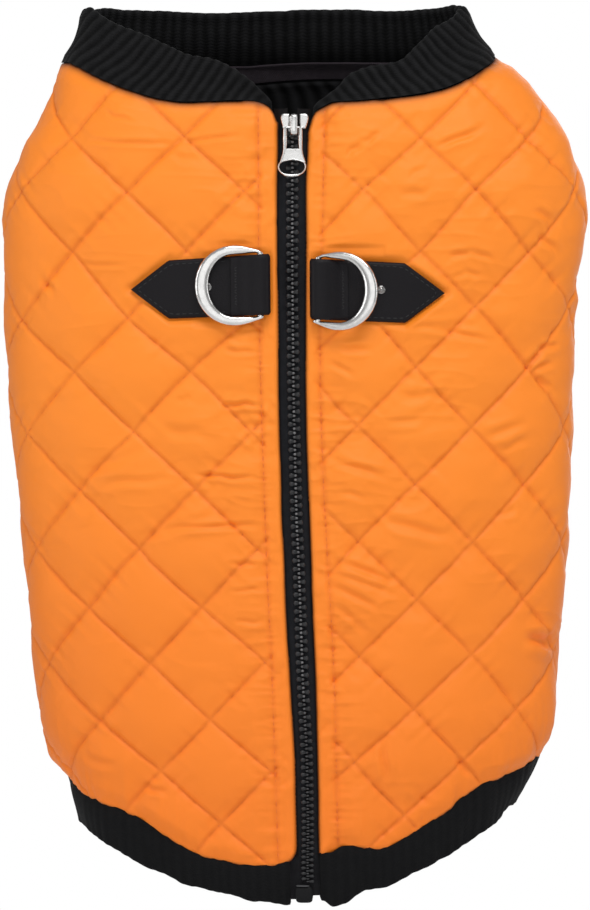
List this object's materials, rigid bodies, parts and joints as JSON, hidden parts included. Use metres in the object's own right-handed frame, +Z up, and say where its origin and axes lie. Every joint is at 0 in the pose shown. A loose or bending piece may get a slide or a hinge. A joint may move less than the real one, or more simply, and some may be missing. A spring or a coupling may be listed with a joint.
{
  "type": "dog winter coat",
  "caption": "Quilted sleeveless dog coat with a zip down the back, rib-knit collar and hem, pointed tabs with D-rings and open leg holes.",
  "frame": {"origin": "middle of the neck at the level of the collar seam's sides, where the wearer's neck holds the coat up", "axes": "+Z up the coat to the neck, -Y out of the back zip, +X to the viewer's right when the zip faces the viewer"},
  "size_m": [0.2389, 0.1119, 0.3685],
  "materials": {
    "quilted_shell": "smooth quilted nylon, soft sheen",
    "rib_knit": "matt black rib knit",
    "inner_tape": "matt grey-purple tape",
    "zip_cloth": "woven black zip tape",
    "zip_plastic": "moulded black plastic",
    "tab_leather": "smooth charcoal, low sheen",
    "satin_nickel": "satin nickel"
  },
  "bodies": {
    "coat": {"body_left": "quilted_shell", "body_right": "quilted_shell", "belly_panel": "quilted_shell", "collar": "rib_knit", "hem_band": "rib_knit", "leg_binding_left": "rib_knit", "leg_binding_right": "rib_knit", "neck_tape": "inner_tape", "neck_lining": "rib_knit", "zip_tape_left": "zip_cloth", "zip_tape_right": "zip_cloth", "zip_chain": "zip_plastic", "zip_box": "zip_plastic", "zip_slider": "satin_nickel", "tab_left": "tab_leather", "tab_right": "tab_leather", "rivet_left": "satin_nickel", "rivet_right": "satin_nickel"},
    "pull": {"zip_pull": "satin_nickel"},
    "ring_left": {"d_ring_left": "satin_nickel"},
    "ring_right": {"d_ring_right": "satin_nickel"}
  },
  "joints": [
    {"name": "zip_pull_flip", "type": "hinge", "parent": "coat", "child": "pull", "pos_m": [-0.00027, -0.04902, -0.02739], "axis": [-1, 0, 0], "range_deg": [0, 150]},
    {"name": "d_ring_left_swing", "type": "hinge", "parent": "coat", "child": "ring_left", "pos_m": [-0.01332, -0.05127, -0.0911], "axis": [0, 0, 1], "range_deg": [0, 105]},
    {"name": "d_ring_right_swing", "type": "hinge", "parent": "coat", "child": "ring_right", "pos_m": [0.01028, -0.0513, -0.0927], "axis": [0, 0, -1], "range_deg": [-12, 92]}
  ]
}
